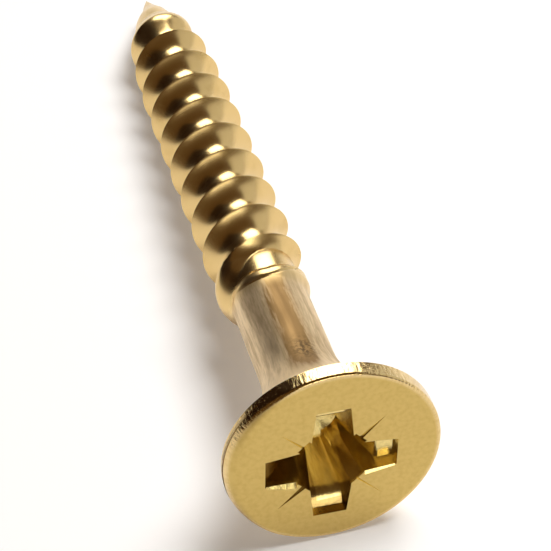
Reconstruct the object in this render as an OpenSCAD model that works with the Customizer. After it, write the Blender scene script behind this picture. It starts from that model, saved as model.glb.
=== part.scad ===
// Chipboard screw, countersunk, with a type Z cross recess and a part thread.
// One solid piece: the head is forged, the shank is plain, the thread is rolled.
// It lies as it comes to rest, on the rim of its head and on one thread crest,
// with its point towards +X and the floor at Z = 0. All lengths are millimetres.

/* [Overall] */
// Length from the flat of the head to the point
screw_length = 29.4; // [24:0.1:60]

/* [Head] */
// Diameter over the rim of the head
head_d = 7.3; // [6.6:0.1:9]
// Height of the upright rim, from the flat of the head to the countersink
rim_h = 0.56; // [0.5:0.01:0.9]
// Radius of the rounded edge between the flat and the rim
edge_round = 0.25; // [0.1:0.01:0.4]
// Full angle of the countersink under the head
countersink_angle = 90; // [80:1:100]
// Radius of the fillet that runs the countersink into the shank
neck_fillet = 3.9; // [1:0.1:5]

/* [Recess] */
// Width over two opposite wings, at the flat of the head
recess_w = 4.56; // [4:0.02:5]
// Thickness of a wing at its outer end
wing_t = 1.13; // [0.9:0.01:1.3]
// Thickness of a wing where it opens to the middle
wing_root_t = 1.4; // [1.3:0.02:1.5]
// Share of its thickness that a wing keeps at the bottom of the recess
wing_draft = 0.6; // [0.5:0.05:1]
// Depth of the recess where the wings meet
recess_depth = 1.72; // [1.4:0.02:2.2]
// Depth of the shelf at the outer end of a wing
shelf_depth = 0.44; // [0.3:0.01:0.5]
// Distance from the outer end of a wing to the inner edge of its shelf
shelf_len = 0.84; // [0.6:0.02:0.9]
// Diameter of the round well in the middle, at the flat of the head
well_d = 1.88; // [1.76:0.02:2]
// Diameter of the well at its bottom
well_floor_d = 1.72; // [1.4:0.02:1.76]
// Width over two opposite corner notches
notch_w = 2.66; // [2.4:0.02:2.8]
// Thickness of a corner notch
notch_t = 0.54; // [0.3:0.02:0.6]
// Turn of the recess about the screw's axis
recess_turn = 2; // [0:0.1:45]
// How far the punch sits below the middle of the head
punch_drop = 0.19; // [0:0.01:0.25]
// How far the punch sits left of the middle of the head, seen from the front
punch_left = 0.085; // [0:0.005:0.2]

/* [Tick marks] */
// Distance from the axis to the outer end of a tick mark
tick_reach = 2.5; // [2.2:0.05:2.7]
// Depth of a tick mark where it meets its corner notch
tick_depth = 0.11; // [0.05:0.01:0.16]

/* [Shank] */
// Diameter of the plain shank
shank_d = 2.74; // [2.64:0.02:2.9]
// Distance from the flat of the head to the end of the plain shank
shank_end = 7.6; // [6.8:0.1:12]
// Diameter of the land, the slimmer stretch of shank that the thread climbs out of
land_d = 2.62; // [2.5:0.02:2.62]

/* [Thread] */
// Diameter over the crests
thread_d = 3.5; // [3.2:0.1:4.2]
// Diameter of the core between the crests
core_d = 2.24; // [2:0.02:2.4]
// Advance of one turn
pitch = 1.8; // [1.5:0.05:2.2]
// Distance from the flat of the head to a crest on the upper side, give or take whole turns
crest_place = 9.74; // [8:0.02:12]
// Power that hollows the flanks: 1 is a straight flank
flank_hollow = 2.5; // [1.4:0.1:3]
// Length over which the crests rise out of the land
crest_rise = 1.5; // [1:0.1:2.5]
// Distance from the end of the shank to the shoulder that drops to the core
shoulder_place = 1.8; // [1.6:0.1:3]
// Length of that shoulder
shoulder_len = 0.5; // [0.3:0.05:1]

/* [Point] */
// Full angle of the point over its crests
point_angle = 56; // [40:1:70]
// Length of the plain cone at the point, with no thread on it
cone_len = 3.2; // [2:0.1:4]
// Length over which the core swells into that cone
swell_len = 0.9; // [0.5:0.1:1.5]
// Length over which the crests grow smaller towards the point
taper_len = 10; // [6:0.5:14]
// Diameter that the crests would taper to, without the point
taper_d = 1.2; // [1:0.02:2.8]

/* [Hidden] */

brass = [0.80, 0.66, 0.36];
eps = 0.01;

head_r = head_d / 2;
shank_r = shank_d / 2;
thread_r = thread_d / 2;
core_r = core_d / 2;
flat_r = head_r - edge_round;

land_r = land_d / 2;
thread_depth = thread_r - core_r;

// Length of the slope from the shank down to the land
land_slope = pitch / 6;

// The neck: the countersink meets the shank at a corner that the fillet fills
half_sink = countersink_angle / 2;
corner_s = rim_h + (head_r - shank_r) / tan(half_sink);
tangent_len = neck_fillet * tan(half_sink / 2);
neck_end = corner_s + tangent_len;

// The thread's surface is a grid that follows the helix. Rows crowd towards the crest.
columns = 36;
rows_each_side = 4;
rows_a_turn = 2 * rows_each_side + 1;
row_crowding = 1.4;

// The grid begins inside the shank and closes on the axis at both ends. Its rows climb as they go
// round, so a few spare turns make sure that they reach both ends on every side.
skin_start = shank_end - pitch / 4;
skin_root = skin_start - pitch / 6;
skin_stop = screw_length - pitch / 15;
spare_turns = 2;
first_turn = floor((skin_start - crest_place) / pitch) - spare_turns;
last_turn = ceil((skin_stop - crest_place) / pitch) + spare_turns;
row_count = (last_turn - first_turn) * rows_a_turn;

// How widely the corners of the thread's outline are rounded
tip_blend = thread_depth / 3;
land_blend = thread_depth / 3;

function clamp01(x) = min(max(x, 0), 1);
function smooth_step(x) = let(t = clamp01(x)) t * t * (3 - 2 * t);
function smooth_min(a, b, blend) =
    let(h = max(blend - abs(a - b), 0) / blend) min(a, b) - h * h * blend / 4;

// Radius of the crests at a distance s from the flat of the head
function tapered_crest(s) =
    thread_r - (thread_r - taper_d / 2) * pow(clamp01(1 - (screw_length - s) / taper_len), 3);
function pointed_crest(s) =
    smooth_min((screw_length - s) * tan(point_angle / 2), tapered_crest(s), tip_blend);
function rising_crest(s) = land_r + (thread_r - land_r) * (s - shank_end) / crest_rise;
function crest_at(s) =
    s < shank_end ? land_r : smooth_min(rising_crest(s), pointed_crest(s), land_blend);

// Radius of the core at s: the land, its shoulder, the even core, then the swell into the cone
function swollen_core(s) =
    let(swell = smooth_step((s - screw_length + cone_len + swell_len) / swell_len))
    core_r + (pointed_crest(s) - core_r) * swell;
function core_at(s) =
    let(past = smooth_step((s - shank_end - shoulder_place + shoulder_len) / shoulder_len))
    land_r + (swollen_core(s) - land_r) * past;

// Radius of the surface, off_crest turns away from the crest line
function skin_at(s, off_crest) =
    let(root = core_at(s), crest = max(crest_at(s), root))
    root + (crest - root) * pow(1 - 2 * abs(off_crest), flank_hollow);

// Place of a row across the thread, in turns from the crest
function row_place(m) = sign(m) * 0.5 * pow(abs(m) / (rows_each_side + 0.5), row_crowding);
function off_crest(j) = row_place(j % rows_a_turn - rows_each_side);
function turn_at(j) = first_turn + floor(j / rows_a_turn) + off_crest(j);
function s_at(i, j) = crest_place + pitch * (turn_at(j) + i / columns);

function grid_point(i, j) =
    let(s = s_at(i, j), around = 360 * i / columns, r = skin_at(s, off_crest(j)))
    [r * cos(around), r * sin(around), s];

// Rows beyond either end share that end's single point on the axis
start_id = row_count * columns;
stop_id = start_id + 1;
function grid_id(i, j) =
    s_at(i, j) < skin_start ? start_id :
    s_at(i, j) > skin_stop ? stop_id :
    i == columns ? j * columns + rows_a_turn * columns :
    j * columns + i;
function three_apart(f) = f[0] != f[1] && f[1] != f[2] && f[2] != f[0];

module threaded_part() {
    grid = [for (j = [0 : row_count - 1], i = [0 : columns - 1]) grid_point(i, j)];
    ends = [[0, 0, skin_root], [0, 0, screw_length]];
    triangles = [
        for (j = [0 : row_count - 2], i = [0 : columns - 1])
        let(a = grid_id(i, j), b = grid_id(i + 1, j), c = grid_id(i + 1, j + 1), d = grid_id(i, j + 1))
        for (f = [[a, d, c], [a, c, b]]) if (three_apart(f)) f
    ];
    polyhedron(points = concat(grid, ends), faces = triangles);
}

// Half section of the head and the shank, with the flat of the head at y = 0
module turned_section() {
    difference() {
        polygon([
            [0, 0],
            [flat_r, 0],
            [head_r, edge_round],
            [head_r, rim_h],
            [shank_r + tangent_len * sin(half_sink), corner_s - tangent_len * cos(half_sink)],
            [shank_r, neck_end],
            [shank_r, shank_end],
            [land_r - eps, shank_end + land_slope],
            [0, shank_end + land_slope],
        ]);
        translate([shank_r + neck_fillet, neck_end]) circle(r = neck_fillet, $fn = 96);
    }
    translate([flat_r, edge_round]) circle(r = edge_round, $fn = 64);
}

// The revolve's seam faces the table, so the screw rests on an edge of the rim and keeps its turn
module head_and_shank() {
    rotate([0, 0, 180]) rotate_extrude($fn = 96) turned_section();
}

// A bar through the axis, cut from a side view that is the same to both sides
module through_bar(side_view, thickness) {
    mirrored = [for (k = [len(side_view) - 1 : -1 : 0]) [-side_view[k][0], side_view[k][1]]];
    rotate([90, 0, 0])
        linear_extrude(height = thickness, center = true)
            polygon(concat(side_view, mirrored));
}

// A pair of wings seen from the front: each opens out as far as the corner notches
module wing_outline() {
    mouth = (notch_w + notch_t) / 2 * cos(45);
    polygon([
        [-recess_w / 2, -wing_t / 2],
        [-mouth, -wing_root_t / 2],
        [mouth, -wing_root_t / 2],
        [recess_w / 2, -wing_t / 2],
        [recess_w / 2, wing_t / 2],
        [mouth, wing_root_t / 2],
        [-mouth, wing_root_t / 2],
        [-recess_w / 2, wing_t / 2],
    ]);
}

// One pair of wings: a wall, a slope and a shelf at each end, then a steep fall to the well
module wing_pair() {
    wall = shelf_depth / 2;
    intersection() {
        through_bar([
            [recess_w / 2, -eps],
            [recess_w / 2, wall],
            [recess_w / 2 - wall, shelf_depth],
            [recess_w / 2 - shelf_len, shelf_depth],
            [well_floor_d / 2, recess_depth],
        ], wing_root_t);
        translate([0, 0, -eps])
            linear_extrude(height = recess_depth + 2 * eps, scale = [1, wing_draft])
                wing_outline();
    }
}

// The notches in the corners between the wings lean in towards the well
module notch_pair() {
    through_bar([
        [notch_w / 2, -eps],
        [notch_w / 2, 0],
        [well_floor_d / 2, recess_depth],
    ], notch_t);
}

// The well ends in the cone that the punch leaves
module well() {
    bottom_cone = well_floor_d / 4;
    translate([0, 0, -eps])
        cylinder(h = recess_depth + eps, d1 = well_d, d2 = well_floor_d, $fn = 64);
    translate([0, 0, recess_depth - eps])
        cylinder(h = bottom_cone, d1 = well_floor_d, d2 = 0, $fn = 64);
}

// A tick mark is a V groove that runs out to nothing at its outer end
module tick_mark() {
    inner_r = notch_w / 2 - notch_t / 2;
    run = tick_reach - inner_r;
    bar = notch_t;
    translate([tick_reach, 0, 0])
        rotate([0, atan(tick_depth / run), 0])
            translate([-run, 0, 0])
                rotate([45, 0, 0])
                    translate([0, -bar, -bar])
                        cube([run, bar, bar]);
}

module cross_recess() {
    translate([-punch_drop, -punch_left, 0]) rotate([0, 0, recess_turn]) {
        for (a = [0, 90]) rotate([0, 0, a]) wing_pair();
        for (a = [45, 135]) rotate([0, 0, a]) notch_pair();
        for (a = [45 : 90 : 315]) rotate([0, 0, a]) tick_mark();
        well();
    }
}

// The floor touches the rim and the lowest crest that it can reach on the underside
under_crests = [
    for (k = [ceil((shank_end - crest_place) / pitch) : last_turn])
    let(s = crest_place + pitch * (k + 0.5))
    if (s > shank_end + crest_rise && s < skin_stop) s
];
nose_down = min([for (s = under_crests) atan((head_r - crest_at(s)) / (s - rim_h))]);

// Lying down, the screw reaches back to the foot of its head and forward to its point
middle = screw_length / 2;
back_reach = flat_r * sin(nose_down) + (middle - edge_round) * cos(nose_down) + edge_round;
front_reach = middle * cos(nose_down);
lift = head_r * cos(nose_down) + (rim_h - middle) * sin(nose_down);

module lie_down() {
    translate([(back_reach - front_reach) / 2, 0, lift])
        rotate([0, 90 + nose_down, 0])
            rotate([0, 0, 180])
                translate([0, 0, -middle])
                    children();
}

module screw() {
    color(brass) lie_down() {
        difference() {
            head_and_shank();
            cross_recess();
        }
        threaded_part();
    }
}

screw();
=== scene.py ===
# %% [markdown]
# # A chipboard screw on a pale table
# The screw is one piece of yellow metal: a flat, countersunk head with a cross recess, a plain
# shank, and a coarse thread that runs into a sharp point. Its size, place and outline come from
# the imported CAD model, which is loaded first and never changed. This file then makes a finer
# mesh of the same shape, gives it its finish, and lights it.

# %% The frame
import math

import bpy
import numpy as np
from mathutils import Matrix, Vector


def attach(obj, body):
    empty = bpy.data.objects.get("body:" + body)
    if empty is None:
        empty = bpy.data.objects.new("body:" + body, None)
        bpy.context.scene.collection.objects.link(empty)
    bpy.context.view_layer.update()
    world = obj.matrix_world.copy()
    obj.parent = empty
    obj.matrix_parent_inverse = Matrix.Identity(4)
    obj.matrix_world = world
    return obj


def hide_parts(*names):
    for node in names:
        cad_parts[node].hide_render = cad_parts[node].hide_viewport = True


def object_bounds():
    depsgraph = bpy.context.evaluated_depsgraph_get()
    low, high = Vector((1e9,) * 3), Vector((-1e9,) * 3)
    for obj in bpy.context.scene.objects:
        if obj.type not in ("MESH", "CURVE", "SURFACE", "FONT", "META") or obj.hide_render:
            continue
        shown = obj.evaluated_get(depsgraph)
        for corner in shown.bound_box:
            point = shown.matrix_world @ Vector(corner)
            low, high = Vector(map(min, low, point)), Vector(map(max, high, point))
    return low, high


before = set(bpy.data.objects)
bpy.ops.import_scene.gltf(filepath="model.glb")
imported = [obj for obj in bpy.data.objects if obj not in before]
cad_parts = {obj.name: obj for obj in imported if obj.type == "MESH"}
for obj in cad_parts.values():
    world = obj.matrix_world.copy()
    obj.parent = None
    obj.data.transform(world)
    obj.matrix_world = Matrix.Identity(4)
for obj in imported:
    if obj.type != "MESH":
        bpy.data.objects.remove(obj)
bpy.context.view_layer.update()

# %% [markdown]
# ## The camera
# The camera looks down on the head at about 45 degrees, with the screw running away from it.
# It stands close, so the head looks much larger than the point. A long lens from further off
# would make them more alike. Places are given in millimetres, because the screw is 30 mm long,
# and turned into Blender's metres by one factor.

# %% The camera
MM = 0.001

def camera_at(place, aim, lens):
    """A camera at a place, turned to look at aim, both in millimetres."""
    place, aim = Vector(place), Vector(aim)
    bpy.ops.object.camera_add(location=place * MM)
    camera = bpy.context.object
    camera.rotation_euler = (aim - place).to_track_quat("-Z", "Y").to_euler()
    camera.data.lens = lens
    camera.data.clip_start = 1 * MM
    camera.data.clip_end = 10
    bpy.context.scene.camera = camera
    return camera

camera = camera_at(place=(-49.62, 11.48, 48.69), aim=(-4.59, -0.71, 2.35), lens=117.07)
print("camera to screw:", round(camera.location.length / MM), "mm")

# %% [markdown]
# ## Sizes of the screw
# The screw is modelled standing up, its axis along Z and the flat of its head at Z = 0, in
# millimetres. That makes every ring of it a plain circle. Only at the end is it laid down and
# scaled to metres. The sizes are those of the CAD model, repeated here because this file can't
# read that one.

# %% Sizes
LENGTH = 29.4
HEAD_R = 3.65
RIM_H = 0.56
EDGE_ROUND = 0.25
NECK_FILLET = 3.9
HALF_SINK = math.radians(45)
SHANK_R = 1.37
LAND_R = 1.31
SHANK_END = 7.6
THREAD_R = 1.75
CORE_R = 1.12
PITCH = 1.8
CREST_PLACE = 9.74
FLANK_HOLLOW = 2.5
NOSE_DOWN = math.radians(4.91775)

corner_s = RIM_H + (HEAD_R - SHANK_R) / math.tan(HALF_SINK)
tangent_len = NECK_FILLET * math.tan(HALF_SINK / 2)
NECK_END = corner_s + tangent_len
print("the neck runs into the shank at", round(NECK_END, 3), "mm")

# %% [markdown]
# ## Working as by hand
# An operator acts on whatever is selected. These helpers deselect everything, pick vertices or
# faces by where they are, and apply a modifier once it is set.

# %% Helpers for picking and applying
def only(*objects):
    """Selects these objects and nothing else, the last one active."""
    bpy.ops.object.select_all(action="DESELECT")
    for one in objects:
        one.select_set(True)
    bpy.context.view_layer.objects.active = objects[-1]

def edit(mode="VERT"):
    """Goes into edit mode with nothing selected."""
    bpy.ops.object.mode_set(mode="EDIT")
    bpy.ops.mesh.select_mode(type=mode)
    bpy.ops.mesh.select_all(action="DESELECT")

def done():
    """Goes back to object mode."""
    bpy.ops.object.mode_set(mode="OBJECT")

def pick(kind, test):
    """Selects the vertices that pass a test on their place, or the faces on middle and normal."""
    bpy.ops.object.mode_set(mode="OBJECT")
    mesh = bpy.context.object.data
    if kind == "faces":
        found = [f for f in mesh.polygons if test(f.center, f.normal)]
    else:
        found = [v for v in mesh.vertices if test(v.co)]
    for one in found:
        one.select = True
    bpy.ops.object.mode_set(mode="EDIT")
    return len(found)

def finish_modifier(obj, kind, **settings):
    """Adds a modifier, sets it and applies it at once."""
    only(obj)
    modifier = obj.modifiers.new(kind.title(), kind)
    for name, value in settings.items():
        setattr(modifier, name, value)
    bpy.ops.object.modifier_apply(modifier=modifier.name)

# %% [markdown]
# ## The thread
# On the real screw two dies squeeze a helical groove into the plain blank, and the metal they
# displace rises into the crests. Here the blank is made in the same spirit. One short upright
# line, as tall as the pitch, is swept round the axis by a Screw modifier, which climbs by one
# pitch a turn and so leaves a plain tube whose rows follow the helix. Because a row lies exactly
# on the crest, the crest stays a clean sharp line when the tube is squeezed.

# %% The blank, a tube whose rows follow the helix
COLUMNS = 120
ROWS_EACH_SIDE = 20
ROW_CROWDING = 1.25
FIRST_TURN = -4
TURNS = 16
SAME_PLACE = 0.001

def blank_tube():
    """A plain tube that reaches past both ends of the thread, its rows crowded near the crest."""
    bpy.ops.mesh.primitive_grid_add(
        x_subdivisions=1, y_subdivisions=2 * ROWS_EACH_SIDE, size=PITCH, rotation=(math.pi / 2, 0, 0))
    tube = bpy.context.object
    bpy.ops.object.transform_apply(location=False, rotation=True, scale=False)
    edit()
    pick("vertices", lambda at: at.x > 0)
    bpy.ops.mesh.delete(type="VERT")
    done()
    for vertex in tube.data.vertices:
        share = abs(vertex.co.z) / (PITCH / 2)
        place = math.copysign(share ** ROW_CROWDING * PITCH / 2, vertex.co.z)
        vertex.co = (SHANK_R, 0, CREST_PLACE + FIRST_TURN * PITCH + place)
    finish_modifier(tube, "SCREW", axis="Z", angle=math.tau, screw_offset=PITCH,
                    iterations=TURNS, steps=COLUMNS, render_steps=COLUMNS)
    edit()
    bpy.ops.mesh.select_all(action="SELECT")
    bpy.ops.mesh.remove_doubles(threshold=SAME_PLACE)
    done()
    return tube

thread = blank_tube()
thread.name = "rolled_screw"
print("blank:", len(thread.data.vertices), "vertices")

# %% [markdown]
# The dies' work is then written as one rule for the radius at every point: the core, and above it
# a hollow-sided ridge that is highest on the crest line. Towards the point both grow smaller.

# %% Radius of the core and of the crests
POINT_HALF = math.radians(23)
TAPER_LEN = 10
TAPER_R = 0.6
CONE_LEN = 3.2
SWELL_LEN = 0.9
CONE_SHARE = 0.87
POINT_BLEND = 0.21

def smooth_min(a, b, blend):
    """The smaller of two values, with the corner between them rounded."""
    near = np.maximum(blend - np.abs(a - b), 0) / blend
    return np.minimum(a, b) - near * near * blend / 4

def smooth_step(x):
    """From 0 to 1 as x does, starting and ending softly."""
    t = np.clip(x, 0, 1)
    return t * t * (3 - 2 * t)

def crest_radius(s):
    """The even crest, which tapers towards the point and then follows its cone."""
    tapered = THREAD_R - (THREAD_R - TAPER_R) * np.clip(1 - (LENGTH - s) / TAPER_LEN, 0, 1) ** 3
    return smooth_min((LENGTH - s) * math.tan(POINT_HALF), tapered, POINT_BLEND)

def core_radius(s):
    """The even core, which goes over into a slightly hollow cone at the point."""
    swell = smooth_step((s - LENGTH + CONE_LEN + SWELL_LEN) / SWELL_LEN)
    return CORE_R + (CONE_SHARE * crest_radius(s) - CORE_R) * swell

# %% [markdown]
# Every full turn is one ridge, measured by how far off its crest line a point lies, in turns. Its
# flanks are hollow, and the last turns before the point are softer and rounder, because there the
# metal was thin. Angles run along the helix, 360 degrees a turn, with 0 on the upper side.

# %% Radius of a full turn
CREST_EDGE = 0.004
SOFT_EDGE = 0.14
EARLY_HOLLOW = 3.2
SOFT_HOLLOW = 1.4
SOFT_FROM = 3080
SOFT_TO = 3240

def ridge(off, hollow, edge):
    """Height of the full ridge from 0 at the root to 1 on the crest line, off it in turns."""
    away = np.sqrt(off * off + edge * edge) - edge
    return np.clip(1 - 2 * away, 0, 1) ** hollow

def full_ridge_radius(s, u):
    """Radius of a filled turn at the place s on the axis and the helix angle u."""
    off = (s - CREST_PLACE) / PITCH - u / 360
    hollow = np.interp(u, [0, 180, SOFT_FROM, SOFT_TO],
                          [EARLY_HOLLOW, FLANK_HOLLOW, FLANK_HOLLOW, SOFT_HOLLOW])
    edge = np.interp(u, [SOFT_FROM, SOFT_TO], [CREST_EDGE, SOFT_EDGE])
    core = core_radius(s)
    return core + np.maximum(crest_radius(s) - core, 0) * ridge(off, hollow, edge)

# %% [markdown]
# Where the thread begins, the dies aren't full. The blank keeps a narrow land beside the first
# turn, which ends in a small step down to the core. How far along the axis the land begins and
# ends differs round the screw, so both are given by a short table over the angle.

# %% Radius of the blank
LAND_ANGLES = [-180, -140, -100, 0, 48, 180]
LAND_BEGINS = [8.75, 8.90, 8.15, 8.14, 8.44, 8.72]
LAND_SLOPE = 0.2
STEP_ANGLES = [-180, -90, -45, -26, -10, 0, 60, 120, 180]
STEP_PLACES = [8.95, 9.00, 9.17, 9.23, 9.40, 9.49, 9.60, 9.45, 8.95]
STEP_SLOPE = 0.1

def blank_radius(s, phi):
    """The blank without its ridges: the shank, the land beside the first turn, then the core."""
    degrees = np.degrees(phi)
    land_from = np.interp(degrees, LAND_ANGLES, LAND_BEGINS)
    step_at = np.interp(degrees, STEP_ANGLES, STEP_PLACES)
    land = SHANK_R - (SHANK_R - LAND_R) * smooth_step((s - land_from + LAND_SLOPE / 2) / LAND_SLOPE)
    return land + (core_radius(s) - land) * smooth_step((s - step_at) / STEP_SLOPE)

# %% [markdown]
# The first turn is a low ridge with a flat top. It rises slowly on the side of the head, and its
# top grows narrower and higher until it meets the first full crest. These flaws are what tells a
# rolled thread from a cut one. The table says, at some angles along the helix, where the flat top
# begins and ends, how far out it lies, and how long the rise to it is, all in millimetres.

# %% Radius of the low first turn
RIDGE_ANGLES = [-460, -420, -390, -360, -341, -312, -284, -180, -104, -20]
RIDGE_TOP_FROM = [0.66, 0.48, 0.33, 0.09, 0.03, 0.10, 0.02, -0.24, -0.36, 0.00]
RIDGE_TOP_TO = [0.76, 0.61, 0.51, 0.31, 0.33, 0.42, 0.42, 0.00, -0.22, 0.00]
RIDGE_TOP_R = [1.31, 1.37, 1.40, 1.40, 1.42, 1.46, 1.545, 1.68, 1.76, 1.75]
RIDGE_RISE = [0.05, 0.05, 0.05, 0.08, 0.35, 0.62, 0.65, 0.85, 0.95, 0.90]
SHORT_FALL = 0.22
FALL_GROWS_FROM = -200
FALL_GROWS_OVER = 80

def low_ridge_radius(s, u, blank):
    """Radius of the unfilled turn: a rise, a flat top, then a fall that is short at first."""
    helix_s = CREST_PLACE + PITCH * u / 360
    begins = helix_s + np.interp(u, RIDGE_ANGLES, RIDGE_TOP_FROM)
    ends = helix_s + np.interp(u, RIDGE_ANGLES, RIDGE_TOP_TO)
    top = np.interp(u, RIDGE_ANGLES, RIDGE_TOP_R)
    rise = np.interp(u, RIDGE_ANGLES, RIDGE_RISE)
    up = smooth_step(1 + (s - begins) / rise)
    short = smooth_step(1 - (s - ends) / SHORT_FALL)
    long = np.clip(1 - 2 * np.maximum(s - ends, 0) / PITCH, 0, 1) ** EARLY_HOLLOW
    down = short + (long - short) * smooth_step((u - FALL_GROWS_FROM) / FALL_GROWS_OVER)
    return blank + np.maximum(top - blank, 0) * np.minimum(up, down)

# %% [markdown]
# A fold runs along the low ridge, where the dies pushed metal over without filling it. It is a
# narrow groove on a line that bends round the upper side of the shank.

# %% Depth of the fold
FOLD_PLACE = 7.98
FOLD_LEAN = 0.005
FOLD_BEND = 0.00012
FOLD_HALF_W = 0.035
FOLD_ANGLES = [-60, -30, 0, 48]
FOLD_DEPTHS = [0.05, 0.08, 0.04, 0.03]

def fold_depth(s, phi):
    """How far the fold goes in, running out softly at both of its ends."""
    degrees = np.degrees(phi)
    line = FOLD_PLACE + FOLD_LEAN * degrees + FOLD_BEND * (degrees - 2) ** 2
    reach = smooth_step((degrees + 75) / 30) * smooth_step((70 - degrees) / 25)
    depth = np.interp(degrees, FOLD_ANGLES, FOLD_DEPTHS)
    return depth * reach * np.exp(-((s - line) / FOLD_HALF_W) ** 2)

# %% [markdown]
# The skin is the highest of the blank and of the ridges on either side of a point. Taking the
# highest keeps the valley between two ridges clean, with no seam where one rule ends and the next
# begins. Then every vertex of the tube moves out or in to the skin, and what lies past the neck or
# the point is gathered there and merged.

# %% Squeezing the thread
FILLED_OVER = 60
CLEAN_SHANK_END = SHANK_END - 0.2
SAME_SKIN_PLACE = 0.0005
NO_LENGTH = 0.0001

def skin_radius(s, phi):
    """Radius of the screw's skin at the place s on the axis and the angle phi."""
    degrees = np.degrees(phi)
    blank = blank_radius(s, phi)
    nearest = np.round((s - CREST_PLACE) / PITCH - phi / math.tau)
    r = blank
    for turn in (nearest - 1, nearest, nearest + 1):
        u = 360 * turn + degrees
        filled = smooth_step((u + FILLED_OVER) / FILLED_OVER)
        low = low_ridge_radius(s, u, blank)
        r = np.maximum(r, low + (full_ridge_radius(s, u) - low) * filled)
    r = r - fold_depth(s, phi)
    return np.where(s < CLEAN_SHANK_END, SHANK_R, r)

def squeeze_thread(tube):
    """Moves every vertex of the tube to the skin, and gathers the ends at the neck and the point."""
    count = len(tube.data.vertices)
    at = np.empty(3 * count)
    tube.data.vertices.foreach_get("co", at)
    at = at.reshape(-1, 3)
    phi = np.arctan2(at[:, 1], at[:, 0])
    s = np.clip(at[:, 2], NECK_END, LENGTH)
    r = skin_radius(s, phi)
    r[s >= LENGTH] = 0
    r[s <= NECK_END] = SHANK_R
    at = np.stack([r * np.cos(phi), r * np.sin(phi), s], axis=1)
    tube.data.vertices.foreach_set("co", at.ravel())
    tube.data.update()
    only(tube)
    edit()
    bpy.ops.mesh.select_all(action="SELECT")
    bpy.ops.mesh.remove_doubles(threshold=SAME_SKIN_PLACE)
    bpy.ops.mesh.dissolve_degenerate(threshold=NO_LENGTH)
    done()

squeeze_thread(thread)
print("thread:", len(thread.data.polygons), "faces")

# %% [markdown]
# ## The head
# A press upsets the head from the same wire. Its section is a flat, a rounded edge, an upright
# rim, a 90 degree countersink and a long fillet into the shank. Spinning that section would do,
# but extruding one ring again and again, moving and scaling it each time, is quicker to follow:
# the ring starts on the shank and ends on the flat.

# %% The head, ring by ring
BEND_STEPS = 12
SINK_STEPS = 4
RIM_SHARES = (0.6, 0.3, 0.0)

def ring_to(state, radius, s):
    """Extrudes the selected ring to a new radius and height."""
    bpy.ops.mesh.extrude_region_move(TRANSFORM_OT_translate={"value": (0, 0, s - state["s"])})
    bpy.ops.transform.resize(value=(radius / state["r"], radius / state["r"], 1), center_override=(0, 0, s))
    state.update(r=radius, s=s)

def plain_head():
    """The head before the punch: fillet, countersink, rim, rounded edge and flat, in that order."""
    bpy.ops.mesh.primitive_circle_add(vertices=COLUMNS, radius=SHANK_R, location=(0, 0, NECK_END))
    head = bpy.context.object
    bpy.ops.object.transform_apply(location=True, rotation=False, scale=False)
    edit()
    bpy.ops.mesh.select_all(action="SELECT")
    bpy.ops.mesh.edge_face_add()
    bpy.ops.mesh.select_all(action="SELECT")
    state = {"r": SHANK_R, "s": NECK_END}
    for k in range(1, BEND_STEPS + 1):
        a = HALF_SINK * k / BEND_STEPS
        ring_to(state, SHANK_R + NECK_FILLET * (1 - math.cos(a)), NECK_END - NECK_FILLET * math.sin(a))
    fillet_r, fillet_s = state["r"], state["s"]
    for k in range(1, SINK_STEPS + 1):
        share = k / SINK_STEPS
        ring_to(state, fillet_r + (HEAD_R - fillet_r) * share, fillet_s + (RIM_H - fillet_s) * share)
    for share in RIM_SHARES:
        ring_to(state, HEAD_R, EDGE_ROUND + (RIM_H - EDGE_ROUND) * share)
    for k in range(1, BEND_STEPS + 1):
        a = math.pi / 2 * k / BEND_STEPS
        ring_to(state, HEAD_R - EDGE_ROUND * (1 - math.cos(a)), EDGE_ROUND * (1 - math.sin(a)))
    done()
    return head

head = plain_head()
head.name = "head"
print("head:", len(head.data.polygons), "faces")

# %% [markdown]
# The edge round the flat isn't the same all round. It is small, but worn wide on the left, where
# the head was knocked. Its rings are moved in code, each vertex to a new corner radius, because a
# bevel has one width only along its whole edge.

# %% The worn edge
WORN_ANGLES = [-180, -145, -125, -100, -60, -45, -30, -20, 180]
WORN_RADII = [0.10, 0.11, 0.30, 0.46, 0.48, 0.40, 0.26, 0.11, 0.10]

def roll_edge(head):
    """Gives the edge round the flat its own radius on every side."""
    for vertex in head.data.vertices:
        x, y, s = vertex.co
        r = math.hypot(x, y)
        if s < EDGE_ROUND + SAME_PLACE and r > HEAD_R - EDGE_ROUND - SAME_PLACE:
            a = math.atan2(EDGE_ROUND - s, r - HEAD_R + EDGE_ROUND)
            edge = np.interp(math.degrees(math.atan2(y, x)), WORN_ANGLES, WORN_RADII)
            new_r = HEAD_R - edge * (1 - math.cos(a))
            vertex.co = (x * new_r / r, y * new_r / r, edge * (1 - math.sin(a)))

roll_edge(head)
print("edge radius from", min(WORN_RADII), "to", max(WORN_RADII), "mm")

# %% [markdown]
# ## The cross recess
# A punch drives the recess into the head: four wings, four small notches in the corners between
# them, and a round well in the middle. A tool of each shape is made, turned, and cut away from the
# head, which is just what the punch does. Each tool begins a little above the flat, so that the
# cut leaves no thin skin there. The punch sat a little low and left.

# %% The punch and its blocks
RECESS_TURN = math.radians(2)
PUNCH_PLACE = (-0.19, -0.085, 0)
ABOVE = 0.25

def punched(tool, turn):
    """Turns a tool about the punch's own axis and sets it where the punch came down."""
    tool.data.transform(Matrix.Translation(PUNCH_PLACE) @ Matrix.Rotation(RECESS_TURN + turn, 4, "Z"))
    return tool

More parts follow.
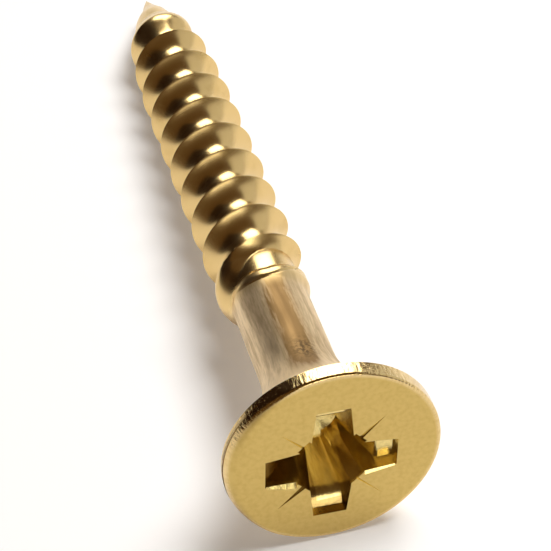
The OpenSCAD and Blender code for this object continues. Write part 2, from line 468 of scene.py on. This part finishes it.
def sink(half, stations):
    """Extrudes the block's lower face through stations of half length, depth and width share."""
    edit("FACE")
    pick("faces", lambda middle, normal: normal.z > 0.9)
    depth, share = 0.0, 1.0
    for new_half, new_depth, new_share in stations:
        bpy.ops.mesh.extrude_region_move(TRANSFORM_OT_translate={"value": (0, 0, new_depth - depth)})
        bpy.ops.transform.resize(
            value=(new_half / half, new_share / share, 1), center_override=(0, 0, new_depth))
        half, depth, share = new_half, new_depth, new_share
    done()

def block(half_length, width, stations):
    """A block through the axis that begins above the flat and follows its stations down."""
    bpy.ops.mesh.primitive_cube_add(size=1, location=(0, 0, -ABOVE / 2))
    tool = bpy.context.object
    tool.dimensions = (2 * half_length, width, ABOVE)
    bpy.ops.object.transform_apply(location=True, rotation=False, scale=True)
    sink(half_length, stations)
    return tool

print("the punch sat", -PUNCH_PLACE[0], "mm low and", -PUNCH_PLACE[1], "mm to the left")

# %% [markdown]
# A pair of opposite wings is what two simple shapes share. The first is a plan view that opens
# towards the middle and narrows with depth, so that the punch comes out again.

# %% The wings in plan
WING_REACH = (2.33, 2.235)
WING_HALF_T = 0.565
WING_ROOT_HALF_T = 0.70
WING_MOUTH = 1.13
WING_DRAFT = 0.60
DRAFT_DEPTH = 1.72
WELL_DEPTH = 2.35
BELOW_WELL = 0.1

def wing_plan(reach):
    """The plan view of two opposite wings, which narrows with depth."""
    bpy.ops.mesh.primitive_grid_add(x_subdivisions=3, y_subdivisions=1, size=2, location=(0, 0, -ABOVE))
    tool = bpy.context.object
    bpy.ops.object.transform_apply(location=True, rotation=False, scale=False)
    wider = 1 + (1 - WING_DRAFT) * ABOVE / DRAFT_DEPTH
    for vertex in tool.data.vertices:
        outer = abs(vertex.co.x) > 0.5
        vertex.co.x = math.copysign(reach if outer else WING_MOUTH, vertex.co.x)
        half = WING_HALF_T if outer else WING_ROOT_HALF_T
        vertex.co.y = math.copysign(half * wider, vertex.co.y)
    edit("FACE")
    bpy.ops.mesh.select_all(action="SELECT")
    depth = WELL_DEPTH + BELOW_WELL
    deep_share = (1 - (1 - WING_DRAFT) * depth / DRAFT_DEPTH) / wider
    bpy.ops.mesh.extrude_region_move(TRANSFORM_OT_translate={"value": (0, 0, depth + ABOVE)})
    bpy.ops.transform.resize(value=(1, deep_share, 1), center_override=(0, 0, depth))
    bpy.ops.mesh.select_all(action="SELECT")
    bpy.ops.mesh.normals_make_consistent(inside=False)
    done()
    return tool

print("wings:", 2 * WING_REACH[0], "and", 2 * WING_REACH[1], "mm over all")

# %% [markdown]
# The second is a side view. Each end of it is set back more and more with depth. One end is a
# slope below a short wall, which catches the light like a spoon. The other is a short shelf. Both
# then fall steeply to the well. The share of the two shapes is a Boolean that keeps what they
# have in common.

# %% The wings from the side
PUNCH_LEAN = 0.445
SLOPE_DEPTHS = (-ABOVE, 0.33, 0.37, 0.43, 0.49, 0.56, 0.64, 0.74, 0.88, WELL_DEPTH)
SLOPE_BACKS = (0, 0.01, 0.080, 0.175, 0.260, 0.345, 0.425, 0.495, 0.565,
               0.565 + (WELL_DEPTH - 0.88) * PUNCH_LEAN)
SHELF_DEPTHS = (-ABOVE, 0.34, 0.40, 0.44, 0.45, 0.46, 0.48, 0.53, 0.60, 0.72, WELL_DEPTH)
SHELF_BACKS = (0, 0.01, 0.05, 0.14, 0.30, 0.52, 0.58, 0.63, 0.67, 0.73,
               0.73 + (WELL_DEPTH - 0.72) * PUNCH_LEAN)
SIDE_STEPS = (0.34, 0.37, 0.40, 0.43, 0.45, 0.46, 0.48, 0.52, 0.56, 0.61, 0.67, 0.75, 0.86, WELL_DEPTH)
SIDE_WIDTH = 2.0
PLAN_SPARE = 0.1

def wing_tool(reach):
    """One pair of wings. The one along -x ends in a slope, the other in a shelf."""
    tool = wing_plan(reach + PLAN_SPARE)
    backs = [np.interp(depth, SHELF_DEPTHS, SHELF_BACKS) for depth in SIDE_STEPS]
    side = block(reach, SIDE_WIDTH, [(reach - back, depth, 1) for back, depth in zip(backs, SIDE_STEPS)])
    for vertex in side.data.vertices:
        if vertex.co.x < 0:
            vertex.co.x = np.interp(vertex.co.z, SLOPE_DEPTHS, SLOPE_BACKS) - reach
    finish_modifier(tool, "BOOLEAN", operation="INTERSECT", object=side, solver="EXACT")
    bpy.data.objects.remove(side)
    return tool

# %% [markdown]
# The corner notches are narrow blocks that lean in towards the well. The well is a cylinder with
# a slight taper, and it ends in the cone that the punch leaves.

# %% The notches and the well
WELL_R = 0.94
WELL_FLOOR_R = 0.86
WELL_WIDER_ABOVE = 0.03
NOTCH_T = 0.54
NOTCH_DEPTH = 1.72
NOTCH_DRAFT = 0.8
CONE_TIP_SHARE = 0.05
NOTCHES = ((45, 1.36), (135, 1.28), (-135, 1.28), (-45, 1.38))

def notch_tool(reach):
    """A notch leans in from its reach at the flat to the wall of the well."""
    tool = block(reach, NOTCH_T, [(WELL_FLOOR_R, NOTCH_DEPTH, NOTCH_DRAFT)])
    edit()
    pick("vertices", lambda at: at.x < 0)
    bpy.ops.transform.resize(value=(0, 1, 1), center_override=(0, 0, 0))
    done()
    return tool

def well_tool():
    """The well: a primitive cone cut short, and a second, flat cone extruded from its floor."""
    bpy.ops.mesh.primitive_cone_add(
        vertices=64, radius1=WELL_R + WELL_WIDER_ABOVE, radius2=WELL_FLOOR_R, depth=WELL_DEPTH + ABOVE,
        location=(0, 0, (WELL_DEPTH - ABOVE) / 2))
    tool = bpy.context.object
    bpy.ops.object.transform_apply(location=True, rotation=False, scale=False)
    edit("FACE")
    pick("faces", lambda middle, normal: normal.z > 0.9)
    cone = WELL_FLOOR_R / 2
    bpy.ops.mesh.extrude_region_move(TRANSFORM_OT_translate={"value": (0, 0, cone)})
    bpy.ops.transform.resize(
        value=(CONE_TIP_SHARE, CONE_TIP_SHARE, 1), center_override=(0, 0, WELL_DEPTH + cone))
    done()
    return tool

def cut(obj, tool):
    """Cuts a tool's shape out of the piece, then throws the tool away."""
    finish_modifier(obj, "BOOLEAN", operation="DIFFERENCE", object=tool, solver="EXACT")
    bpy.data.objects.remove(tool)

def punch_recess(head):
    """One blow after the other: both pairs of wings, the four notches, then the well."""
    cut(head, punched(wing_tool(WING_REACH[0]), 0))
    cut(head, punched(wing_tool(WING_REACH[1]), math.pi / 2))
    for degrees, reach in NOTCHES:
        cut(head, punched(notch_tool(reach), math.radians(degrees)))
    cut(head, punched(well_tool(), 0))

punch_recess(head)
print("head with its recess:", len(head.data.polygons), "faces")

# %% [markdown]
# Between the wings the punch also leaves four short tick marks, the sign of this kind of recess.
# Each is a V groove that runs out to nothing at its outer end, and no two came out alike.

# %% The tick marks
TICKS = ((45, 1.2, 2.45, 0.090, 0.13), (135, 1.15, 2.54, 0.04, 0.07),
         (-133, 1.15, 2.46, 0.100, 0.13), (-46, 1.2, 2.40, 0.05, 0.09))

def tick_tool(inner, outer, half_width, depth):
    """A four-sided cone lying in the flat, wide at its inner end and nearly sharp at its outer one."""
    bpy.ops.mesh.primitive_cone_add(
        vertices=4, radius1=1, radius2=0.02, depth=outer - inner,
        location=((inner + outer) / 2, 0, 0), rotation=(0, math.pi / 2, 0))
    tool = bpy.context.object
    bpy.ops.object.transform_apply(location=True, rotation=True, scale=False)
    for vertex in tool.data.vertices:
        vertex.co.y = vertex.co.y * half_width
        vertex.co.z = vertex.co.z * depth
    return tool

for degrees, inner, outer, half_width, depth in TICKS:
    cut(head, punched(tick_tool(inner, outer, half_width, depth), math.radians(degrees)))
print("tick marks:", len(TICKS))

# %% [markdown]
# The lower edges of the two side wings are pressed over, the left one more than the right. The
# same four-sided cone makes them, laid along the wing's edge and cut off near the wing's end.

# %% The pressed edges
WING_FLARE = (WING_ROOT_HALF_T - WING_HALF_T) / (WING_REACH[1] - WING_MOUTH)
PRESSED_TO = WING_REACH[1] - 0.05
PRESSED_EDGES = ((-90, -1, 1.15, 2.6, 0.20, 0.125), (90, 1, 1.15, 2.9, 0.11, 0.07))

def press_edge(head, degrees, side, inner, outer, half_width, depth):
    """Presses over one edge of the wing at an angle, on the side that 1 or -1 gives."""
    tool = tick_tool(inner, outer, half_width, depth)
    only(tool)
    edit()
    bpy.ops.mesh.select_all(action="SELECT")
    bpy.ops.mesh.bisect(
        plane_co=(PRESSED_TO, 0, 0), plane_no=(1, 0, 0), clear_outer=True, use_fill=True)
    done()
    for vertex in tool.data.vertices:
        vertex.co.y += side * (WING_HALF_T + (WING_REACH[1] - vertex.co.x) * WING_FLARE)
    cut(head, punched(tool, math.radians(degrees)))

for pressed in PRESSED_EDGES:
    press_edge(head, *pressed)
print("head with its ticks and pressed edges:", len(head.data.polygons), "faces")

# %% [markdown]
# ## One skin
# The head's blind cap on the shank side is taken off, and its open ring meets the thread's ring
# vertex for vertex, so that merging them makes one closed skin. A Boolean would do it too, but it
# would leave a seam with small, uneven faces round the neck.

# %% One skin
def join_skin(head, thread):
    """Opens the head's ring, joins it to the thread and merges the two rings."""
    only(head)
    edit("FACE")
    pick("faces", lambda middle, normal: normal.z > 0.9 and middle.z > NECK_END - 0.01)
    bpy.ops.mesh.delete(type="ONLY_FACE")
    done()
    only(head, thread)
    bpy.ops.object.join()
    edit()
    bpy.ops.mesh.select_all(action="SELECT")
    bpy.ops.mesh.remove_doubles(threshold=SAME_SKIN_PLACE)
    bpy.ops.mesh.normals_make_consistent(inside=False)
    done()

def open_edges(mesh):
    """How many edges have a face on one side only, which a closed skin has none of."""
    uses = np.zeros(len(mesh.edges), dtype=int)
    for loop in mesh.loops:
        uses[loop.edge_index] += 1
    return int((uses < 2).sum())

join_skin(head, thread)
print("screw:", len(thread.data.polygons), "faces,", open_edges(thread.data), "open edges")

# %% [markdown]
# ## Laying it down
# A screw can't stand: it rests on the rim of its head and on one crest near the point, about
# five degrees nose down. Turning and scaling are applied to the mesh, so the finished piece
# sits at the origin like the CAD node it replaces. Then its faces are shaded smooth, but for the
# sharp edges, and a Weighted Normal modifier lets the large faces lead at the corners.

# %% Laying it down
MIDDLE_PLACE = Vector((0.14619, 0, 2.42440))
LYING = Matrix.Rotation(math.pi / 2 + NOSE_DOWN, 4, "Y") @ Matrix.Rotation(math.pi, 4, "Z")
FROM_UPRIGHT = Matrix.Translation(MIDDLE_PLACE) @ LYING @ Matrix.Translation((0, 0, -LENGTH / 2))
SHARP_FROM = math.radians(32)

def lie_down(screw):
    """Turns the upright screw as it lies, in its mesh, and makes millimetres metres."""
    screw.data.transform(Matrix.Scale(MM, 4) @ FROM_UPRIGHT)
    screw.data.update()

lie_down(thread)
only(thread)
bpy.ops.object.shade_smooth_by_angle(angle=SHARP_FROM)
finish_modifier(thread, "WEIGHTED_NORMAL", weight=50, keep_sharp=True)
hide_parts("screw")
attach(thread, "root")
lowest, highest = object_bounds()
print("screw box in mm:", [round(1000 * v, 2) for v in (*lowest, *highest)])

# %% [markdown]
# ## Shader maths
# This small class wraps a socket, so that a mask can be written as a Python expression. Each
# operator adds a Math node. Every other node comes from the one method `node`.

# %% Shader maths
class Wire:
    """A shader socket that takes part in Python expressions."""

    def __init__(self, tree, socket=None):
        self.tree = tree
        self.socket = socket

    def node(self, kind, settings=None, inputs=None, out=0):
        """Adds a node: its settings first, then its sockets' values or links."""
        made = self.tree.nodes.new(kind)
        for name, value in (settings or {}).items():
            setattr(made, name, value)
        for name, value in (inputs or {}).items():
            if isinstance(value, Wire):
                self.tree.links.new(value.socket, made.inputs[name])
            else:
                made.inputs[name].default_value = value
        return Wire(self.tree, made.outputs[out])

    def maths(self, operation, a, b, clamp=False):
        """Adds a Math node to two values, which may be numbers or sockets."""
        return self.node("ShaderNodeMath", {"operation": operation, "use_clamp": clamp}, {0: a, 1: b})

    def __add__(self, other):
        return self.maths("ADD", self, other)

    def __radd__(self, other):
        return self.maths("ADD", other, self)

    def __sub__(self, other):
        return self.maths("SUBTRACT", self, other)

    def __rsub__(self, other):
        return self.maths("SUBTRACT", other, self)

    def __mul__(self, other):
        return self.maths("MULTIPLY", self, other)

    def __rmul__(self, other):
        return self.maths("MULTIPLY", other, self)

# %% [markdown]
# A finish is built from a few masks. A ramp turns a measure into a mask, a tint mixes two colours
# by a mask, and grain is noise, which a small stretch factor draws out into lines.

# %% Masks, tints and grain
def new_material(name):
    """An empty material with its Principled shader."""
    material = bpy.data.materials.new(name)
    material.use_nodes = True
    shader = material.node_tree.nodes["Principled BSDF"]
    return material, Wire(material.node_tree), shader

def ramp(value, low, high):
    """0 below low and 1 above high, with a soft change between them."""
    return value.node("ShaderNodeMapRange", {"interpolation_type": "SMOOTHSTEP"},
                      {"Value": value, "From Min": low, "From Max": high})

def away_from(value, middle=0):
    """How far a value is from the middle, on either side."""
    return value.maths("ABSOLUTE", value - middle, 0)

def bump_near(value, middle, half):
    """1 at the middle, falling softly to 0 at half away from it."""
    return 1 - ramp(away_from(value, middle), 0, half)

def tint(mask, from_colour, to_colour):
    """Mixes two colours by a mask. Either may be a socket."""
    full = [c if isinstance(c, Wire) else (*c, 1) for c in (from_colour, to_colour)]
    return mask.node("ShaderNodeMix", {"data_type": "RGBA"}, {0: mask, 6: full[0], 7: full[1]}, out=2)

def grain(vector, scale, detail=2, stretch=(1, 1, 1)):
    """Noise from 0 to 1, stretched along an axis by a small factor there."""
    place = vector.node("ShaderNodeMapping", None, {"Vector": vector, "Scale": stretch})
    return vector.node("ShaderNodeTexNoise", None, {"Vector": place, "Scale": scale, "Detail": detail})

# %% [markdown]
# The patterns have to follow the screw, which lies at an angle. A Mapping node of the Texture kind
# undoes the screw's place, turn and size, so that they can be given in its own millimetres.

# %% The screw's own space, and the link to the shader
def screw_space(wire):
    """The place on the screw in mm: up, to the right, and s from the flat of the head."""
    at = wire.node("ShaderNodeTexCoord", out="Object")
    along = wire.node("ShaderNodeMapping", {"vector_type": "TEXTURE"}, {
        "Vector": at,
        "Location": MIDDLE_PLACE * MM,
        "Rotation": LYING.to_euler(),
        "Scale": (MM, MM, MM),
    })
    up, right, z = [wire.node("ShaderNodeSeparateXYZ", None, {0: along}, out=k) for k in range(3)]
    return along, up, right, z + LENGTH / 2

def polish(material, wire, shader, colour, roughness, height, depth):
    """Links a metal's finish: colour, roughness and a bump of a depth in mm."""
    shader.inputs["Metallic"].default_value = 1
    normal = wire.node("ShaderNodeBump", None, {"Height": height, "Strength": 1, "Distance": depth * MM})
    for name, value in (("Base Color", colour), ("Roughness", roughness), ("Normal", normal)):
        material.node_tree.links.new(value.socket, shader.inputs[name])

# %% [markdown]
# ## Brass
# The screw is brass all over, but each tool left its own finish. The dies burnish the thread. The
# shank was drawn, so it is satin with fine streaks along its length, and it is scuffed where the
# thread begins. Its upper middle is darkened as painted shade. One material holds both, because one
# runs into the other.

# %% Rolled and drawn brass
ROLLED_BRASS = (0.74, 0.535, 0.235)
WARM_BRASS = (0.62, 0.42, 0.150)
DRAWN_BRASS = (0.88, 0.70, 0.44)
# The next colour is the streaks' own dark, and also the painted shade along the shank's upper middle.
DRAWN_DARK_AND_SHADE = (0.27, 0.165, 0.066)
STAINED_BRASS = (0.10, 0.062, 0.028)
ROLLED_BUMP = 0.006

def drawn_streaks(wire, up, right, s):
    """Coarse and fine streaks along the shank. They fan out with the neck, as its metal did."""
    shrink = wire.maths("POWER", up * up + right * right, -0.5) * SHANK_R
    drawn_place = wire.node("ShaderNodeCombineXYZ", None, {0: up * shrink, 1: right * shrink, 2: s})
    return grain(drawn_place, 3.6, 6, (1, 1, 0.10)), grain(drawn_place, 13.0, 4, (1, 1, 0.16))

def thread_scuffs(place, up, right, s):
    """Fine marks across the shank, on its upper right, where the thread begins."""
    scuffed = bump_near(s, SHANK_END - 0.5, 0.9) * bump_near(right, 0.55, 0.7) * ramp(up, 0, 0.8)
    return grain(place, 7.0, 3, (0.3, 0.3, 1.4)) * scuffed

def thumb_smudge(place, up, right, s):
    """A broken dark smudge on the upper side of the shank, near the neck."""
    smudged = bump_near(s, 3.9, 1.0) * bump_near(right, 0.1, 0.6) * ramp(up, 0.5, 1.0)
    return smudged * ramp(grain(place, 9.0, 4), 0.42, 0.60)

def rolled_brass():
    """Bright in the thread, satin and streaked on the shank, with painted shade along the shank's upper
    middle.
    """
    material, wire, shader = new_material("rolled_brass")
    place, up, right, s = screw_space(wire)
    drawn = 1 - ramp(s, SHANK_END - 0.3, SHANK_END + 0.9)
    streaks, fine_streaks = drawn_streaks(wire, up, right, s)
    cloud = grain(place, 1.3, 3)
    rolled = tint(ramp(cloud, 0.45, 0.75) * 0.5, ROLLED_BRASS, WARM_BRASS)
    # Painted shade: the upper middle of the shank is darkened, where it would reflect the dim room. The
    # streaks add their own dark lines.
    shaded_top_and_streaks = bump_near(right, 0.02, 0.95) * ramp(up, 0, 0.6) * 1.1
    shaded_top_and_streaks = shaded_top_and_streaks + ramp(streaks, 0.40, 0.62) * 0.3
    shaded_top_and_streaks = shaded_top_and_streaks + ramp(fine_streaks, 0.42, 0.62) * 0.18
    shaded_top_and_streaks = shaded_top_and_streaks * ramp(s, 1.6, 3.6)
    streaked = tint(shaded_top_and_streaks, DRAWN_BRASS, DRAWN_DARK_AND_SHADE)
    colour = tint(thumb_smudge(place, up, right, s), tint(drawn, rolled, streaked), STAINED_BRASS)
    roughness = 0.23 + drawn * 0.22 + ramp(streaks, 0.3, 0.7) * drawn * 0.12 + cloud * 0.06
    height = (streaks + fine_streaks * 0.6) * drawn + thread_scuffs(place, up, right, s) * 2.5 + cloud * 0.3
    polish(material, wire, shader, colour, roughness, height, ROLLED_BUMP)
    return material

# %% [markdown]
# The press leaves the flat satin and faintly mottled, and its brass is darker than the rim's as
# painted shade. Round the rim it drags fine lines across the edge, which break the highlight into
# short strokes. The strokes are grain on the angle round the head, so that they stay square to the
# edge all the way round.

# %% Pressed brass, for the flat and the rim
# The flat's two colours are darkened as painted shade. The mottle between them is the flat's own.
SHADED_FLAT_BRASS = (0.605, 0.435, 0.140)
SHADED_FLAT_DULL = (0.555, 0.390, 0.118)
RIM_BRASS = (0.76, 0.57, 0.27)
PRESSED_BUMP = 0.012

def rim_strokes(wire, up, right, s, far):
    """Short strokes across the rim, stretched along it by a small factor off the rim."""
    angle = wire.maths("ARCTAN2", right, up)
    round_place = wire.node("ShaderNodeCombineXYZ", None, {0: angle * HEAD_R, 1: s * 0.35, 2: far * 0.35})
    return grain(round_place, 9.0, 3)

def pressed_brass():
    """Satin, mottled and darkened by painted shade on the flat, brighter and stroked on the rim."""
    material, wire, shader = new_material("pressed_brass")
    place, up, right, s = screw_space(wire)
    far = wire.maths("POWER", up * up + right * right, 0.5)
    rim = ramp(far, HEAD_R - 0.22, HEAD_R - 0.06)
    strokes = rim_strokes(wire, up, right, s, far)
    mottle = grain(place, 5.5, 6)
    speckle = grain(place, 20.0, 2)
    pits = ramp(speckle, 0.66, 0.74)
    plain = tint(ramp(mottle, 0.35, 0.72), SHADED_FLAT_BRASS, SHADED_FLAT_DULL)
    edge = tint(ramp(strokes, 0.40, 0.70) * 0.6, RIM_BRASS, WARM_BRASS)
    colour = tint(rim, plain, edge)
    roughness = 0.32 + mottle * 0.12 - rim * 0.22
    height = mottle * 0.30 + speckle * 0.15 - pits * 0.2 + strokes * rim * 1.6
    polish(material, wire, shader, colour, roughness, height, PRESSED_BUMP)
    return material

# %% [markdown]
# The punch wipes the walls of the recess bright and draws lines down them. Painted shade darkens
# the side walls of the upper and lower wings, the left wing, and the end wall of the lower one.

# %% Punched brass, for the recess
PUNCHED_BRASS = (0.78, 0.62, 0.25)
PUNCHED_DARK = (0.60, 0.455, 0.165)
# The next colour is painted shade for the dark walls inside the recess.
RECESS_SHADE_BRASS = (0.36, 0.235, 0.08)
PUNCHED_BUMP = 0.006

def painted_recess_shade(wire, up, right, s):
    """1 where shade is painted into the recess: the wings' side walls, the left wing and the lower end
    wall.
    """
    walls = ramp(away_from(right), 0.42, 0.50) * ramp(away_from(up), 0.8, 1.0) * ramp(s, 0.02, 0.10)
    left_wing = ramp(right, -1.0, -1.15) * ramp(s, 0.15, 0.30)
    lower_end = ramp(up, -2.29, -2.31)
    return wire.maths("MAXIMUM", wire.maths("MAXIMUM", walls, left_wing), lower_end)

def punched_brass():
    """Bright walls with lines down them, and painted shade in the recess."""
    material, wire, shader = new_material("punched_brass")
    place, up, right, s = screw_space(wire)
    lines = grain(place, 7.0, 4, (1, 1, 0.12))
    cloud = grain(place, 2.4, 3)
    wiped = tint(ramp(lines, 0.35, 0.70) * 0.5, PUNCHED_BRASS, PUNCHED_DARK)
    # Painted shade darkens the walls that lie in the recess's shade.
    colour = tint(painted_recess_shade(wire, up, right, s) * 0.85, wiped, RECESS_SHADE_BRASS)
    polish(material, wire, shader, colour, 0.13 + cloud * 0.14, lines + cloud * 0.4, PUNCHED_BUMP)
    return material

# %% [markdown]
# The three finishes go to the faces they belong to, found by their place on the screw.

# %% Which face has which finish
ROLLED, PRESSED, PUNCHED = 0, 1, 2
ON_FLAT = 0.002
RIM_FROM = 2.6
RECESS_TO_R = WING_REACH[0] + 0.3
RECESS_TO_S = WELL_DEPTH + 0.5

def finish_at(at):
    """Which finish a face has, by its place on the upright screw."""
    far = math.hypot(at.x, at.y)
    if at.z < RIM_H and far > RIM_FROM or at.z < ON_FLAT:
        return PRESSED
    if at.z < RECESS_TO_S and far < RECESS_TO_R and far < HEAD_R - at.z * 0.9 - 0.1:
        return PUNCHED
    return ROLLED

def assign_finishes(screw):
    """Gives the screw its three finishes, and each face the one that belongs to it."""
    screw.data.materials.clear()
    for material in (rolled_brass(), pressed_brass(), punched_brass()):
        screw.data.materials.append(material)
    upright = FROM_UPRIGHT.inverted()
    counts = [0, 0, 0]
    for face in screw.data.polygons:
        face.material_index = finish_at(upright @ (face.center / MM))
        counts[face.material_index] += 1
    return counts

print("faces rolled, pressed and punched:", assign_finishes(thread))

# %% [markdown]
# ## The table
# A plain pale table carries the shadow. It glows a little for the camera and for reflections,
# which lifts the lit part to white while the shadow stays.

# %% Table
TABLE_SIZE = 4
TABLE_PAINT = 0.9
TABLE_GLOW = 0.2

def make_table():
    """A plain table, far larger than the screw, so that its edge is out of sight."""
    bpy.ops.mesh.primitive_plane_add(size=TABLE_SIZE)
    table = bpy.context.object
    table.name = "table"
    material, wire, shader = new_material("pale_table")
    shader.inputs["Base Color"].default_value = (TABLE_PAINT, TABLE_PAINT, TABLE_PAINT, 1)
    shader.inputs["Roughness"].default_value = 0.9
    shader.inputs["Emission Strength"].default_value = 1
    by_camera = wire.node("ShaderNodeLightPath", out="Is Camera Ray")
    by_gloss = wire.node("ShaderNodeLightPath", out="Is Glossy Ray")
    seen = wire.maths("ADD", by_camera, by_gloss, clamp=True)
    glow = tint(seen, (0, 0, 0), (TABLE_GLOW, TABLE_GLOW, TABLE_GLOW))
    material.node_tree.links.new(glow.socket, shader.inputs["Emission Color"])
    table.data.materials.append(material)
    return table

print("table:", make_table().name, "with a glow of", TABLE_GLOW)

# %% [markdown]
# ## The light
# Polished brass shows mostly what stands round it. A softbox behind the point gives the white
# bands, a pale card on the right the beige ones, a black card on the left the dark edges, and two
# cards in front the glints in the recess. One lamp from the right makes the shadow. Directions are
# given round the screw: azimuth 0 is beyond its point, 90 is to its left.

# %% The lamp
def direction(azimuth, elevation):
    """A unit vector from the screw, azimuth round it and elevation above the table, in degrees."""
    a, e = math.radians(azimuth), math.radians(elevation)
    return Vector((math.cos(a) * math.cos(e), math.sin(a) * math.cos(e), math.sin(e)))

def softbox(name, azimuth, elevation, distance, size, radiance):
    """An area lamp that faces the screw. Radiance 1 looks as bright as white paper."""
    place = direction(azimuth, elevation) * distance * MM
    bpy.ops.object.light_add(type="AREA", location=place)
    lamp = bpy.context.object
    lamp.name = name
    lamp.rotation_euler = (-place).to_track_quat("-Z", "Y").to_euler()
    lamp.data.shape = "RECTANGLE"
    lamp.data.size = size[0] * MM
    lamp.data.size_y = size[1] * MM
    lamp.data.energy = radiance * math.pi * lamp.data.size * lamp.data.size_y
    lamp.visible_glossy = False
    return lamp

lamp = softbox("shadow_lamp", -76, 66, 260, (150, 130), 11.4)
print("lamp:", round(1000 * lamp.data.energy, 1), "milliwatts, out of sight for the metal")

# %% [markdown]
# The metal doesn't see that lamp, because a lamp would show in it as one hard patch. It sees
# cards instead: plain glowing planes that only reflections find, so that each can be as bright as
# the metal needs it without lighting the table.

# %% The cards
def card(name, azimuth, elevation, distance, size, colour):
    """A card that faces the screw and shows only in reflections."""
    place = direction(azimuth, elevation) * distance * MM
    bpy.ops.mesh.primitive_plane_add(size=1, location=place)
    made = bpy.context.object
    made.name = name
    made.scale = (size[0] * MM, size[1] * MM, 1)
    made.rotation_euler = (-place).to_track_quat("Z", "Y").to_euler()
    material, _, shader = new_material(name)
    shader.inputs["Base Color"].default_value = (0, 0, 0, 1)
    shader.inputs["Roughness"].default_value = 1
    shader.inputs["Specular IOR Level"].default_value = 0
    shader.inputs["Emission Color"].default_value = (*colour, 1)
    shader.inputs["Emission Strength"].default_value = 1
    made.data.materials.append(material)
    made.visible_camera = False
    made.visible_diffuse = False
    made.visible_shadow = False
    return made

cards = [
    card("back_softbox", -15, 42, 220, (140, 140), (5.2, 5.2, 5.1)),
    card("front_softbox", -171, 25, 320, (185, 95), (3.2, 3.15, 2.9)),
    card("front_low", -171, 9, 330, (200, 84), (1.0, 0.99, 0.95)),
    card("low_backdrop", -15, 6, 300, (420, 62), (0.85, 0.84, 0.80)),
    card("right_card", -85, 20, 260, (420, 260), (0.74, 0.73, 0.70)),
    card("left_card", 66, 28, 200, (320, 360), (0.02, 0.010, 0.006)),
]
print("cards:", ", ".join(made.name for made in cards))

# %% [markdown]
# What no card covers is the room: dim and warm, like a dark wooden ceiling. The view transform is
# Standard, so that a colour comes out about as it is written.

# %% The room
ROOM_COLOUR = (0.105, 0.060, 0.022)

world = bpy.data.worlds.new("dim_room")
bpy.context.scene.world = world
world.use_nodes = True
world.node_tree.nodes["Background"].inputs["Color"].default_value = (*ROOM_COLOUR, 1)
world.node_tree.nodes["Background"].inputs["Strength"].default_value = 1
bpy.context.scene.view_settings.view_transform = "Standard"
print("room:", ROOM_COLOUR)
